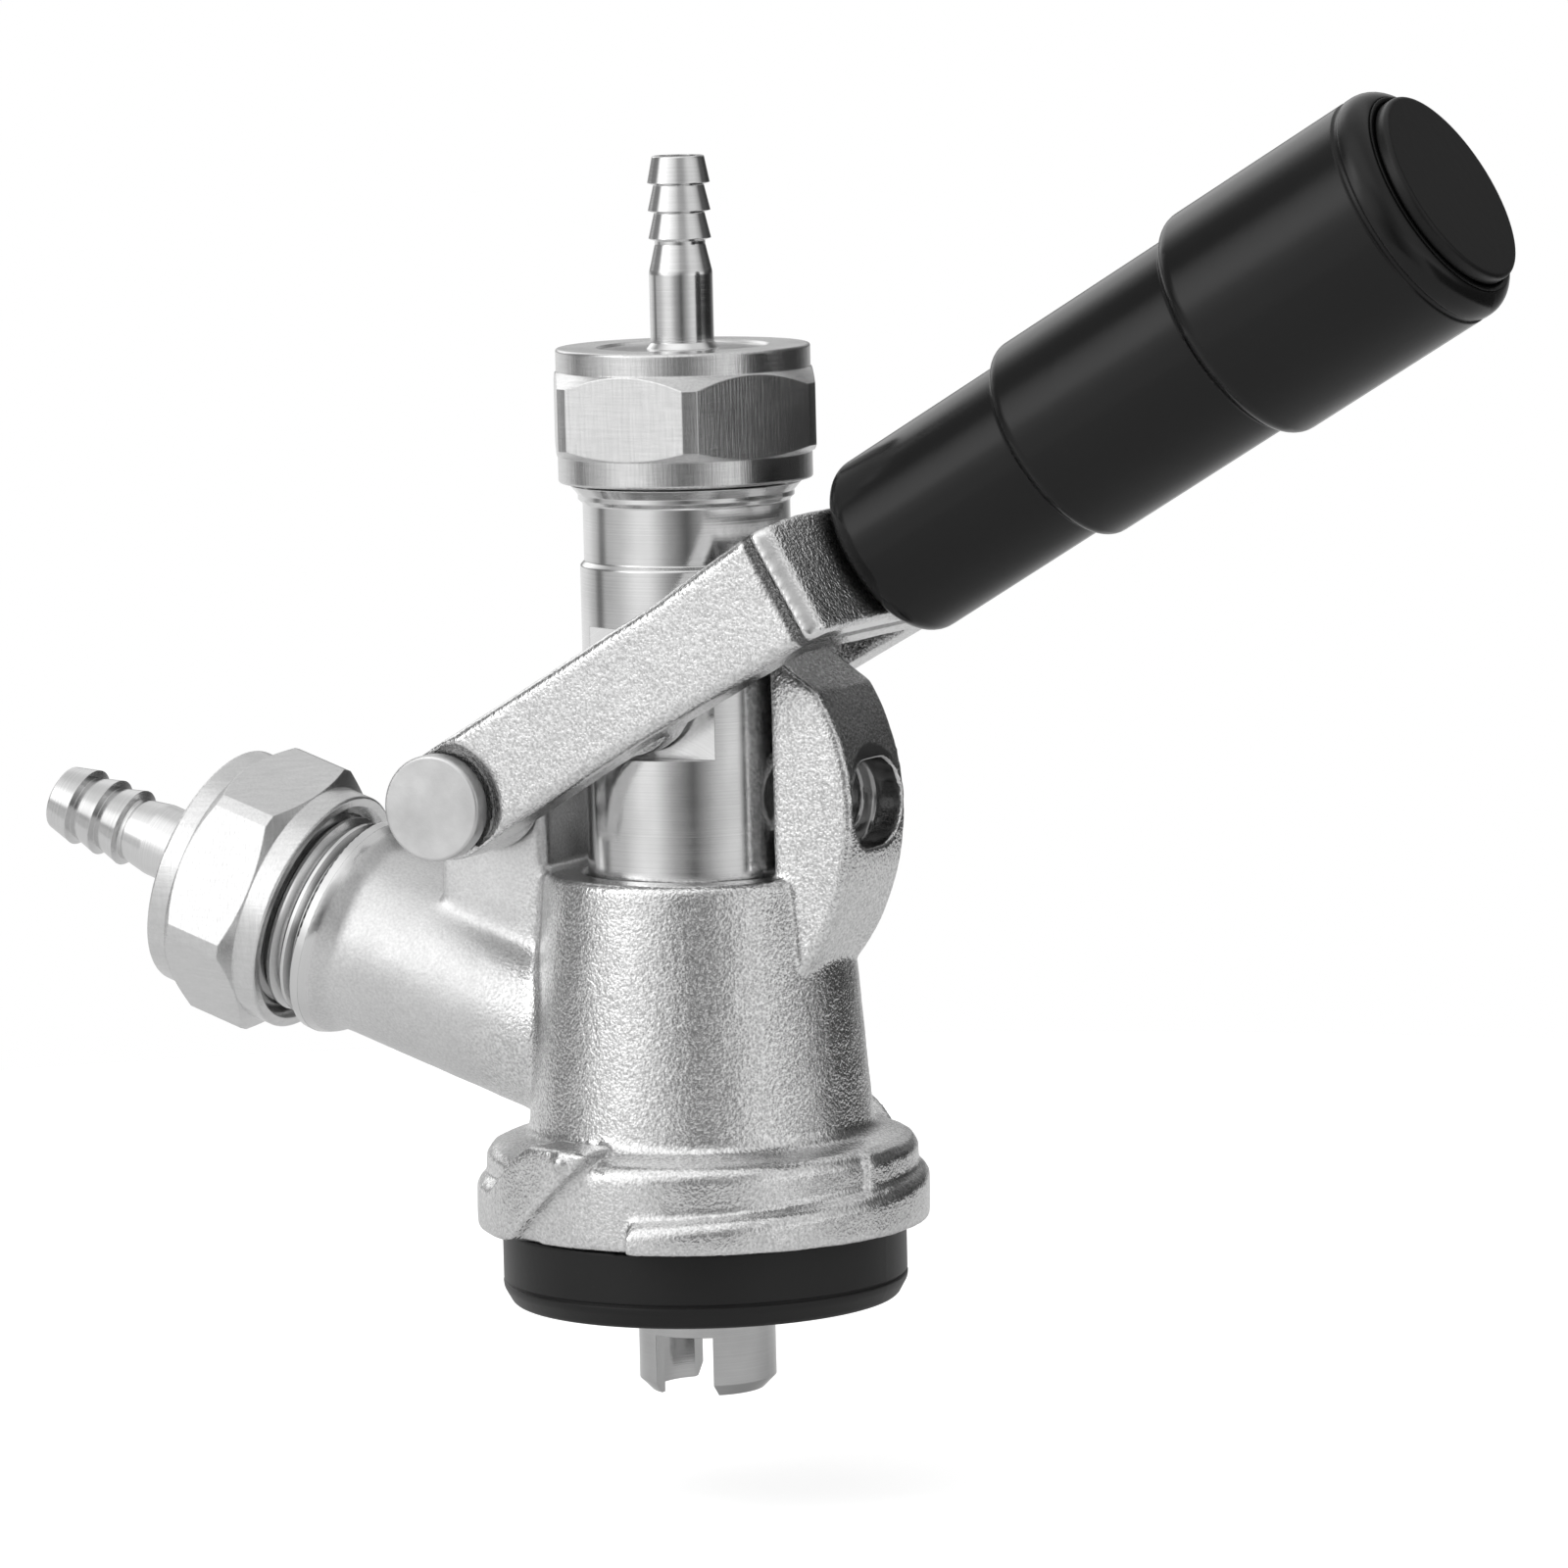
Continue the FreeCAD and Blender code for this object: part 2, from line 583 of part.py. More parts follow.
def lever_fork():
    # Two arms, the hub between them and the tube that carries the handle
    end = ARM_END_R
    round_end = end - 0.1
    arm = slab([(-end, -end, round_end), (CREASE_T / 2, -ARM_WAIST, 60), (CREASE_T - 2, -ARM_WIDE, 12),
                (CREASE_T + 4, -ARM_WIDE), (CREASE_T + 4, ARM_WIDE + 0.2), (CREASE_T - 5, ARM_WIDE, 12),
                (CREASE_T * 0.7, ARM_WAIST + 0.1, 30), (-end, end, round_end)], -ARM_OUT, ARM_OUT)
    arm = softened(arm, ARM_ROUND, on_side_faces)
    plan = Part.makePolygon([vec(-10, -30, 0), vec(CREASE_T, -30, 0), vec(CREASE_T, -ARM_OUT, 0),
                             vec(CREASE_T + STRIP_LONG, STRIP_IN - ARM_OUT, 0),
                             vec(HUB_END, -HUB_SIDE, 0), vec(HUB_END, HUB_SIDE, 0),
                             vec(CREASE_T + STRIP_LONG, ARM_OUT - STRIP_IN, 0),
                             vec(CREASE_T, ARM_OUT, 0), vec(CREASE_T, 30, 0), vec(-10, 30, 0),
                             vec(-10, -30, 0)])
    keep = Part.Face(plan).extrude(AZ * 40)
    keep.translate(vec(0, 0, -20))
    fork = arm.common(keep)
    gap = Part.makeCylinder(CROTCH_R, 2 * ARM_IN, vec(0, -ARM_IN, 0), AY)
    fork = fork.cut(gap)
    adds = [rod(NECK_TUBE_R, vec(HUB_END - 2, 0, 0), vec(NECK_TUBE_END, 0, 0))]
    for side in (-1, 1):
        start = vec(0, side * (ARM_IN + 1), 0)
        adds.append(rod(ARM_END_R - 0.1, start, vec(0, side * (EAR_HALF + 0.3), 0)))
        here = vec(DRIVE_T, side * (ARM_IN + 1), 0)
        adds.append(rod(DRIVE_R, here, vec(DRIVE_T, side * (FLAT_Y + 0.4), 0)))
    fork = fork.multiFuse(adds)
    cuts = [rod(PIN_R + RUN_FIT, vec(0, -25, 0), vec(0, 25, 0)),
            rod(HUB_BORE_R, vec(CROTCH_R - 3, 0, 0), vec(HUB_END + 1, 0, 0)),
            rod(TUBE_BORE_R, vec(HUB_END + 1, 0, 0), vec(NECK_TUBE_END + 1, 0, 0))]
    for side in (-1, 1):
        flare = SPOT_R + SPOT_FLARE
        spot = turned([(0, 0), (SPOT_R, 0), (flare, SPOT_DEEP), (flare, 5), (0, 5)])
        spot.rotate(ORIGIN, AX, -90 * side)
        spot.translate(vec(0, side * (ARM_OUT - SPOT_DEEP), 0))
        cuts.append(spot)
        groove = Part.makeBox(GROOVE_WIDE, 1.2, 40, vec(CREASE_T - GROOVE_WIDE, -0.6, -20))
        groove.translate(vec(0, side * (ARM_OUT + 0.1), 0))
        cuts.append(groove)
    return to_lever(fork.cut(cuts).removeSplitter())


def rod_bush():
    return along_lever(ring(ROD_R + RUN_FIT, HUB_BORE_R, CROTCH_R + 0.9, HUB_END))


def end_bush():
    end = NECK_TUBE_END
    brim = NECK_TUBE_R - 0.4
    return along_lever(turned([(ROD_R + RUN_FIT, end - BUSH_LONG), (TUBE_BORE_R, end - BUSH_LONG),
                               (TUBE_BORE_R, end), (brim, end), (brim, end + 0.9, 0.2),
                               (ROD_R + RUN_FIT, end + 0.9)]))


def lock_spring():
    low = ROD_COLLAR + 2.4
    high = NECK_TUBE_END - BUSH_LONG - 0.4
    wire_r = 0.5
    mean = TUBE_BORE_R - 0.95
    turns = 7.0
    path = Part.makeHelix((high - low - 2 * wire_r) / turns, high - low - 2 * wire_r, mean)
    disc = Part.Wire(Part.makeCircle(wire_r, vec(mean, 0, 0), AY))
    coil = Part.Wire(path).makePipeShell([disc], True, True)
    coil.translate(vec(0, 0, low + wire_r))
    return along_lever(coil)


def locking_rod():
    collar = TUBE_BORE_R - 0.5
    pts = [(0, ROD_TIP), (ROD_R, ROD_TIP, 0.8), (ROD_R, ROD_COLLAR), (collar, ROD_COLLAR, 0.2),
           (collar, ROD_COLLAR + 2, 0.2), (ROD_R, ROD_COLLAR + 2), (ROD_R, CAP_POCKET + 9, 0.5),
           (0, CAP_POCKET + 9)]
    return along_lever(turned(pts))


def handle_grip():
    r0, r1, r2 = GRIP_R
    s1, s2 = GRIP_STEPS
    pocket = 7.2
    line = GRIP_END - 3.9
    pts = [(NECK_TUBE_R + 0.4, GRIP_T, 0.3), (r0, GRIP_T, 2.6), (r0, s1, 0.3), (r1, s1, 1.6), (r1, s2, 0.3),
           (r2, s2, 2.0), (r2, line), (r2 - 0.25, line + 0.2), (r2 - 0.25, line + 0.6), (r2, line + 0.8),
           (r2, GRIP_END, 2.6), (CAP_R + 0.7, GRIP_END), (CAP_R + 0.7, GRIP_END - 0.8), (pocket, GRIP_END - 0.8),
           (pocket, CAP_POCKET), (ROD_R + 0.02, CAP_POCKET), (ROD_R + 0.02, GRIP_FLOOR),
           (NECK_TUBE_R + 0.4, GRIP_FLOOR - 2)]
    return along_lever(turned(pts))


def grip_washer():
    return along_lever(ring(ROD_R + 0.1, 6.2, CAP_POCKET, CAP_POCKET + 1.2))


def grip_nut():
    corners = []
    for i in range(7):
        a = math.radians(60 * i)
        r = 5.0 / math.cos(math.radians(30))
        corners.append(vec(r * math.cos(a), r * math.sin(a), CAP_POCKET + 1.2))
    nut = Part.Face(Part.makePolygon(corners)).extrude(AZ * 5)
    nut = nut.cut(Part.makeCylinder(ROD_R, 10, vec(0, 0, CAP_POCKET)))
    return along_lever(nut)


def end_cap():
    under = GRIP_END - 0.3
    pts = [(0, CAP_POCKET + 10), (7.1, CAP_POCKET + 10, 0.4), (7.1, under), (CAP_R - 0.5, under),
           (CAP_R, under + 0.4), (CAP_R, under + CAP_T + 0.6, 0.5), (0, under + CAP_T + 0.6)]
    return along_lever(turned(pts))


NODES = {
    "body_casting": body_casting,
    "body_seal": body_seal,
    "bore_orings": bore_orings,
    "gas_union_nut": gas_nut,
    "gas_tailpiece": gas_tail,
    "gas_check_valve": gas_check_valve,
    "pivot_pin": pivot_pin,
    "pivot_clip": pin_clip,
    "probe": probe,
    "probe_seal": probe_seal,
    "beer_union_nut": beer_nut,
    "beer_tailpiece": beer_tail,
    "beer_washer": beer_washer,
    "ball_cage": ball_cage,
    "check_ball": check_ball,
    "lever_fork": lever_fork,
    "rod_bush": rod_bush,
    "end_bush": end_bush,
    "lock_spring": lock_spring,
    "locking_rod": locking_rod,
    "handle_grip": handle_grip,
    "grip_washer": grip_washer,
    "grip_nut": grip_nut,
    "end_cap": end_cap,
}

os.makedirs("parts", exist_ok=True)
for name, make in NODES.items():
    shape = make()
    box = shape.BoundBox
    print(name, shape.isValid(), len(shape.Solids), round(shape.Volume, 1),
          [round(c, 2) for c in (box.XMin, box.XMax, box.YMin, box.YMax, box.ZMin, box.ZMax)])
    shape.exportStep("parts/" + name + ".step")
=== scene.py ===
import math

import bmesh
import bpy
import numpy as np
from mathutils import Matrix, Vector, noise as solid_noise


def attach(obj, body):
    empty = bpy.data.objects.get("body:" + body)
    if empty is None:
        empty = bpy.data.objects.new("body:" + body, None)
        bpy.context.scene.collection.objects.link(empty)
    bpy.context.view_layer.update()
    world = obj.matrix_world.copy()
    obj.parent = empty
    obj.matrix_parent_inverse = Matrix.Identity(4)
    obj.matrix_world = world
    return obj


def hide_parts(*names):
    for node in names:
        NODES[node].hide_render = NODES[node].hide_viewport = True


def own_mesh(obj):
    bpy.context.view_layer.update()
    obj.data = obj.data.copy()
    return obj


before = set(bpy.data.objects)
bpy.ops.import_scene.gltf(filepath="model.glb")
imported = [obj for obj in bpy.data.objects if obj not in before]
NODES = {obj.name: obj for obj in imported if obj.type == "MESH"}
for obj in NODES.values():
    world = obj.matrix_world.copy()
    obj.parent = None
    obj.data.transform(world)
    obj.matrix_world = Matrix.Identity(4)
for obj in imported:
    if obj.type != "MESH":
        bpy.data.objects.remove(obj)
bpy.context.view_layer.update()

# The photograph's camera, solved from the object's own edges
CAM_AZIMUTH = 27.3
CAM_ELEVATION = 6.838
CAM_ROLL = -1.375
CAM_DISTANCE = 0.92101
CAM_LENS = 195.5
CAM_TARGET = Vector((0.011061, 0.0, 0.056697))

# Places and directions of the frame, in metres
LEVER_RISE = math.radians(30.7)
PIVOT = Vector((-0.021, 0.0, 0.0554))
LEVER_AXIS = Vector((math.cos(LEVER_RISE), 0.0, math.sin(LEVER_RISE)))
GAS_RISE = math.radians(19.35)
GAS_FOOT = Vector((0.0, 0.0, 0.02385))
GAS_AXIS = Vector((-math.cos(GAS_RISE), 0.0, math.sin(GAS_RISE)))
UP = Vector((0.0, 0.0, 1.0))
ACROSS = Vector((0.0, 1.0, 0.0))
ORIGIN = Vector((0.0, 0.0, 0.0))
FLOOR_Z = -0.0225
FLOOR_R = 0.34
BORE_R = 0.01175
BORE_LOW = 0.0312
PIVOT_BORE_R = 0.00405
HUB_BORE_R = 0.0046
CONE_R = 0.0189
CONE_FOOT_Z = 0.0186
CONE_TAPER = 0.084
BOSS_R = 0.0108
LUG_SIDE_Y = 0.00675
SPOT_FACE_R = 0.0073
CATCH_FACE_X = 0.0175
CATCH_Z = 0.05505
RECESS_HALF_Y = 0.0063
RECESS_HALF_Z = 0.0052
ARM_OUT = 0.0187
CREASE_T = 0.0483
STRIP_LONG = 0.0020
HUB_SIDE_Y = 0.0145
COLLAR_START = 0.0440
THREAD_START = 0.04495
RIB_PIP_TURNS = (79.5, 259.5)
RIB_PIP_R = 0.0244
RIB_PIP_Z = 0.0181
RIB_PIP_REACH = 0.0015
RIB_FOOT_TURN = 59.0
RIB_FOOT_Z = 0.0084
RIB_CLIMB = 0.00036

# Cast skins: spacing of the even mesh, the most faces kept, and turns of smoothing
SKIN_GRID = 0.00031
SKIN_FACES = 190000
FIRST_TURNS = 2
SOFT_TURNS = 4
BLEND_TURNS = 30

# How bright the studio is, seen from the object, against the angle to the right of the camera
BELOW_HORIZON = ((-180, 0.88), (-140, 0.88), (-119, 0.55), (-113, 0.20), (-107, 0.20), (-101, 0.56),
                 (-80, 0.66), (-57, 1.00), (-42, 0.95), (-22, 0.42), (0, 0.10), (20, 0.46), (38, 0.76),
                 (51, 0.80), (56, 0.06), (80, 0.01), (112, 0.02), (132, 0.04), (152, 0.30), (180, 0.88))
ABOVE_HORIZON = ((-180, 0.26), (-150, 0.36), (-130, 0.22), (-98, 0.20), (-82, 0.52), (-66, 1.25),
                 (-42, 1.12), (-22, 0.50), (0, 0.12), (18, 0.46), (36, 1.10), (72, 1.15), (88, 0.74),
                 (98, 0.10), (128, 0.03), (150, 0.05), (180, 0.24))
RAISED = ((-180, 0.80), (-165, 1.15), (-148, 1.60), (-134, 0.90), (-120, 0.24), (-94, 0.28), (-80, 1.60),
          (-66, 2.40), (-48, 1.00), (-22, 0.55), (0, 0.22), (20, 0.45), (42, 0.82), (64, 0.80), (84, 0.55),
          (100, 0.12), (128, 0.08), (150, 0.22), (180, 0.80))
OVERHEAD = 0.78

# Soft glow of the main light as the metal mirrors it, angles given like the camera's
GLOW_AZIMUTH = -35
GLOW_ELEVATION = 46
GLOW_LEVEL = 0.52


def link_or_set(tree, socket, value):
    if isinstance(value, bpy.types.NodeSocket):
        tree.links.new(value, socket)
    else:
        socket.default_value = value


def maths(tree, operation, a, b=0.0):
    node = tree.nodes.new("ShaderNodeMath")
    node.operation = operation
    link_or_set(tree, node.inputs[0], a)
    link_or_set(tree, node.inputs[1], b)
    return node.outputs[0]


def total(tree, first, *others):
    for other in others:
        first = maths(tree, "ADD", first, other)
    return first


def product(tree, first, *others):
    for other in others:
        first = maths(tree, "MULTIPLY", first, other)
    return first


def inverse(tree, value):
    return maths(tree, "SUBTRACT", 1.0, value)


def vector_maths(tree, operation, a, b=(0.0, 0.0, 0.0), out="Vector"):
    node = tree.nodes.new("ShaderNodeVectorMath")
    node.operation = operation
    link_or_set(tree, node.inputs[0], a)
    link_or_set(tree, node.inputs[1], b)
    return node.outputs[out]


def between(tree, value, low, high, start=0.0, end=1.0):
    # Smooth step of a value from one level to another
    node = tree.nodes.new("ShaderNodeMapRange")
    node.interpolation_type = "SMOOTHSTEP"
    for name, number in (("From Min", low), ("From Max", high), ("To Min", start), ("To Max", end)):
        link_or_set(tree, node.inputs[name], number)
    link_or_set(tree, node.inputs["Value"], value)
    return node.outputs["Result"]


def band(tree, value, rise, drop):
    # One between two smooth steps, nothing outside them
    return product(tree, between(tree, value, *rise), between(tree, value, *drop, 1.0, 0.0))


def ramp(tree, value, stops):
    node = tree.nodes.new("ShaderNodeValToRGB")
    elements = node.color_ramp.elements
    while len(elements) < len(stops):
        elements.new(0.5)
    for element, (place, grey) in zip(elements, stops):
        element.position = place
        element.color = (grey, grey, grey, 1.0)
    link_or_set(tree, node.inputs["Fac"], value)
    return node.outputs["Color"]


def noise(tree, vector, scale, detail=2.0, roughness=0.5):
    node = tree.nodes.new("ShaderNodeTexNoise")
    link_or_set(tree, node.inputs["Vector"], vector)
    node.inputs["Scale"].default_value = scale
    node.inputs["Detail"].default_value = detail
    node.inputs["Roughness"].default_value = roughness
    return node.outputs["Fac"]


def mix_colors(tree, factor, a, b, blend="MIX"):
    node = tree.nodes.new("ShaderNodeMix")
    node.data_type = "RGBA"
    node.blend_type = blend
    link_or_set(tree, node.inputs["Factor"], factor)
    link_or_set(tree, node.inputs["A"], a)
    link_or_set(tree, node.inputs["B"], b)
    return node.outputs["Result"]


def place(tree):
    return tree.nodes.new("ShaderNodeTexCoord").outputs["Object"]


def bump(tree, height, distance, strength=1.0, normal=None):
    node = tree.nodes.new("ShaderNodeBump")
    node.inputs["Distance"].default_value = distance
    link_or_set(tree, node.inputs["Strength"], strength)
    link_or_set(tree, node.inputs["Height"], height)
    if normal is not None:
        tree.links.new(normal, node.inputs["Normal"])
    return node.outputs["Normal"]


def eased_edges(tree, radius):
    node = tree.nodes.new("ShaderNodeBevel")
    node.samples = 4
    node.inputs["Radius"].default_value = radius
    return node.outputs["Normal"]


def material(name, metallic=0.0, specular=0.5):
    made = bpy.data.materials.new(name)
    made.use_nodes = True
    shader = made.node_tree.nodes["Principled BSDF"]
    shader.inputs["Metallic"].default_value = metallic
    shader.inputs["Specular IOR Level"].default_value = specular
    return made, made.node_tree, shader


def along(tree, origin, axis):
    # Distance along an axis, and the distance from it
    away = vector_maths(tree, "SUBTRACT", place(tree), origin)
    run = vector_maths(tree, "DOT_PRODUCT", away, axis, "Value")
    reach = vector_maths(tree, "LENGTH", away, out="Value")
    square = maths(tree, "SUBTRACT", product(tree, reach, reach), product(tree, run, run))
    return run, maths(tree, "SQRT", maths(tree, "MAXIMUM", square, 0.0))


def along_only(tree, value):
    # A coordinate that changes with one value alone
    node = tree.nodes.new("ShaderNodeCombineXYZ")
    tree.links.new(value, node.inputs["X"])
    return node.outputs["Vector"]


def grey_color(tree, value):
    node = tree.nodes.new("ShaderNodeCombineColor")
    for channel in ("Red", "Green", "Blue"):
        tree.links.new(value, node.inputs[channel])
    return node.outputs["Color"]


def painted_crevice_shade(tree, reach, dark):
    # Painted shade: one in the open, down to dark where walls stand close
    node = tree.nodes.new("ShaderNodeAmbientOcclusion")
    node.samples = 8
    node.inputs["Distance"].default_value = reach
    return between(tree, node.outputs["AO"], 0.25, 0.85, dark, 1.0)


def cast_metal(name, smoother):
    # Blasted casting with fine bright and dark grains
    # smoother(tree) gives how strong the grain is at a place, its painted shade and light, and its extra
    # roughness
    made, tree, shader = material(name, metallic=1.0)
    here = place(tree)
    fade, shade, blur = smoother(tree)
    grain = noise(tree, here, 3300, 1.5, 0.5)
    lumps = noise(tree, here, 1900, 1.0)
    sweep = noise(tree, here, 110, 2.0)
    normal = bump(tree, lumps, 0.0001, product(tree, fade, 0.6))
    normal = bump(tree, grain, 0.00008, product(tree, fade, 0.9), normal)
    flecks = product(tree, maths(tree, "SUBTRACT", grain, 0.5), maths(tree, "MINIMUM", fade, 1.0))
    tone = total(tree, flecks, 0.45, product(tree, sweep, 0.1))
    # Painted shade in crevices darkens the base colour further
    shade = product(tree, shade, painted_crevice_shade(tree, 0.0016, 0.45))
    tint = vector_maths(tree, "SCALE", ramp(tree, tone, ((0.36, 0.52), (0.64, 0.84))))
    tree.links.new(shade, tint.node.inputs["Scale"])
    tree.links.new(tint, shader.inputs["Base Color"])
    rough = total(tree, product(tree, lumps, 0.08), blur)
    tree.links.new(total(tree, rough, 0.14), shader.inputs["Roughness"])
    tree.links.new(normal, shader.inputs["Normal"])
    return made


def gauge(points, origin, axis):
    # How far each point lies along an axis, and its foot on that axis
    along_axis = (points - np.array(origin)) @ np.array(axis)
    return along_axis, np.array(origin) + along_axis[:, None] * np.array(axis)


def off_axis(points, origin, axis):
    run, foot = gauge(points, origin, axis)
    return run, np.linalg.norm(points - foot, axis=1)


def true_bore(points, origin, axis, radius, low, high):
    # Brings the wall of a machined bore back to its exact radius
    run, foot = gauge(points, origin, axis)
    away = points - foot
    reach = np.linalg.norm(away, axis=1)
    near = (np.abs(reach - radius) < 0.00035) & (run > low) & (run < high)
    points[near] = foot[near] + away[near] * (radius / reach[near])[:, None]


def read_points(mesh):
    points = np.empty(len(mesh.vertices) * 3)
    mesh.vertices.foreach_get("co", points)
    return points.reshape(-1, 3)


def settle(points, edges, weight, turns):
    # Moves each point towards the middle of its neighbours, as far as its weight lets it
    count = len(points)
    links = np.bincount(edges.ravel(), minlength=count)[:, None]
    for turn in range(turns):
        around = np.empty_like(points)
        for k in range(3):
            around[:, k] = np.bincount(edges[:, 0], points[edges[:, 1], k], count)
            around[:, k] += np.bincount(edges[:, 1], points[edges[:, 0], k], count)
        points += (around / links - points) * weight[:, None]


def baked(piece):
    # The piece's mesh with its modifiers applied
    made = bpy.data.meshes.new_from_object(piece.evaluated_get(bpy.context.evaluated_depsgraph_get()))
    piece.modifiers.clear()
    piece.data = made
    return made


def cast_skin(node, name, softness, blending, waviness):
    # An even copy of a casting with rounded edges
    # softness, blending and waviness take the points and give a number for each
    piece = bpy.data.objects.new(name, NODES[node].data.copy())
    bpy.context.scene.collection.objects.link(piece)
    even = piece.modifiers.new("even", "REMESH")
    even.mode = "VOXEL"
    even.voxel_size = SKIN_GRID
    mesh = baked(piece)
    points = read_points(mesh)
    edges = np.empty(len(mesh.edges) * 2, dtype=np.int32)
    mesh.edges.foreach_get("vertices", edges)
    edges = edges.reshape(-1, 2)
    soft = softness(points)
    settle(points, edges, np.where(soft < 0.2, 0.12, 0.5), FIRST_TURNS)
    settle(points, edges, 0.5 * soft, SOFT_TURNS)
    settle(points, edges, 0.5 * blending(points), BLEND_TURNS)
    mesh.vertices.foreach_set("co", points.ravel())
    mesh.update()
    normals = np.empty(len(points) * 3)
    mesh.vertices.foreach_get("normal", normals)
    points += normals.reshape(-1, 3) * waviness(points)[:, None]
    mesh.vertices.foreach_set("co", points.ravel())
    faces = 2 * len(mesh.polygons)
    if faces > SKIN_FACES:
        fewer = piece.modifiers.new("fewer", "DECIMATE")
        fewer.ratio = SKIN_FACES / faces
        baked(piece)
    return piece


def waves(points, size, height):
    # Slow unevenness of a cast surface, as a height for each point
    return np.array([solid_noise.noise(Vector(p) / size) for p in points]) * height


def fall(distance, reach):
    # One at no distance, nothing beyond the reach
    return np.clip(1.5 - 1.5 * np.abs(distance) / reach, 0.0, 1.0)


def near_pip(points):
    # The small knobs on the ends of the steep ribs
    near = np.zeros(len(points), dtype=bool)
    for turn in RIB_PIP_TURNS:
        a = math.radians(turn)
        middle = np.array((RIB_PIP_R * math.cos(a), RIB_PIP_R * math.sin(a), RIB_PIP_Z))
        near |= np.linalg.norm(points - middle, axis=1) < RIB_PIP_REACH
    return near


def body_softness(points):
    # The bore stays as it is; the catch recess, the knobs and the collar stay crisp
    run, away = off_axis(points, ORIGIN, UP)
    soft = np.where((away < BORE_R + 0.0003) & (run > BORE_LOW), 0.0, 1.0)
    recess = (points[:, 0] > CATCH_FACE_X) & (np.abs(points[:, 1]) < RECESS_HALF_Y)
    recess &= np.abs(points[:, 2] - CATCH_Z) < RECESS_HALF_Z
    course, aside = off_axis(points, GAS_FOOT, GAS_AXIS)
    soft[recess] = 0.05
    soft[near_pip(points)] = 0.15
    soft[course > COLLAR_START] = 0.05
    return soft


def rib_valley(points):
    # The hollow that runs down along the steep rib
    away = np.hypot(points[:, 0], points[:, 1])
    angle = np.degrees(np.arctan2(points[:, 1], points[:, 0])) % 180
    line = RIB_FOOT_Z + RIB_CLIMB * (angle - RIB_FOOT_TURN)
    near = (away > 0.0222) & (away < 0.0246) & (angle > 54) & (angle < 92) & ~near_pip(points)
    return fall(points[:, 2] - line, 0.0028) * near


def body_blending(points):
    # Broad fillets where the gas branch and the pivot lug grow out of the cone, and beside the steep rib
    run, away = off_axis(points, ORIGIN, UP)
    course, aside = off_axis(points, GAS_FOOT, GAS_AXIS)
    cone = away - (CONE_R - CONE_TAPER * (run - CONE_FOOT_Z))
    boss = aside - BOSS_R
    outside = (points[:, 0] < 0.0) & (away > BORE_R + 0.0012)
    branch = fall(cone, 0.0030) * fall(boss, 0.0030)
    side = np.abs(points[:, 1]) - LUG_SIDE_Y
    lug = fall(side, 0.0016) * fall(boss, 0.0016) * (points[:, 2] > 0.032)
    foot = fall(side, 0.0016) * fall(cone, 0.0014) * (points[:, 2] > 0.030) * (points[:, 0] < -0.013)
    blend = np.where(outside, np.maximum(np.maximum(branch, lug), foot), 0.0)
    return np.maximum(blend, rib_valley(points))


def body_waves(points):
    run, away = off_axis(points, ORIGIN, UP)
    course, aside = off_axis(points, GAS_FOOT, GAS_AXIS)
    height = waves(points, 0.0035, 0.00005) + waves(points, 0.0012, 0.00002)
    return np.where((away < BORE_R + 0.0006) | (course > COLLAR_START), 0.0, height)


def lever_softness(points):
    run, away = off_axis(points, PIVOT, ACROSS)
    spot = (away < SPOT_FACE_R + 0.0004) & (np.abs(points[:, 1]) > ARM_OUT - 0.0018)
    course, aside = off_axis(points, PIVOT, LEVER_AXIS)
    crease = (course > CREASE_T - 0.0020) & (course < CREASE_T + 0.0028)
    crease &= np.abs(points[:, 1]) > ARM_OUT - 0.0030
    return np.where(spot, 0.12, np.where(crease, 0.6, 1.0))


def lever_blending(points):
    # The ridge where the strip turns into the hub's side is well rounded
    course, aside = off_axis(points, PIVOT, LEVER_AXIS)
    return fall(course - CREASE_T - STRIP_LONG, 0.0016) * (np.abs(points[:, 1]) > HUB_SIDE_Y)


def lever_waves(points):
    run, away = off_axis(points, PIVOT, ACROSS)
    height = waves(points, 0.0040, 0.00005) + waves(points, 0.0013, 0.00002)
    return np.where(away < SPOT_FACE_R, 0.0, height)


def move_points(piece, change):
    points = read_points(piece.data)
    change(points)
    piece.data.vertices.foreach_set("co", points.ravel())
    piece.data.update()


def cut_mesh(mesh, point, normal):
    # Keeps the side of a plane that its normal points away from, and closes the cut
    work = bmesh.new()
    work.from_mesh(mesh)
    everything = work.verts[:] + work.edges[:] + work.faces[:]
    cut = bmesh.ops.bisect_plane(work, geom=everything, plane_co=point, plane_no=normal, clear_outer=True)
    rim = [edge for edge in cut["geom_cut"] if isinstance(edge, bmesh.types.BMEdge)]
    for edge in rim:
        edge.smooth = False
    bmesh.ops.triangle_fill(work, edges=rim, use_beauty=True, use_dissolve=False)
    work.to_mesh(mesh)
    work.free()


def body_skin():
    # The soft casting as far as its collar, and the exact thread beyond it
    piece = cast_skin("body_casting", "cast_body", body_softness, body_blending, body_waves)
    move_points(piece, lambda points: true_bore(points, ORIGIN, UP, BORE_R, BORE_LOW, 0.0465))
    plane = GAS_FOOT + GAS_AXIS * THREAD_START
    cut_mesh(piece.data, plane, GAS_AXIS)
    thread = NODES["body_casting"].data.copy()
    stored = thread.attributes.get("custom_normal")
    if stored is not None:
        thread.attributes.remove(stored)
    thread.set_sharp_from_angle(angle=math.radians(30))
    cut_mesh(thread, plane, -GAS_AXIS)
    work = bmesh.new()
    work.from_mesh(piece.data)
    work.from_mesh(thread)
    work.to_mesh(piece.data)
    work.free()
    return piece


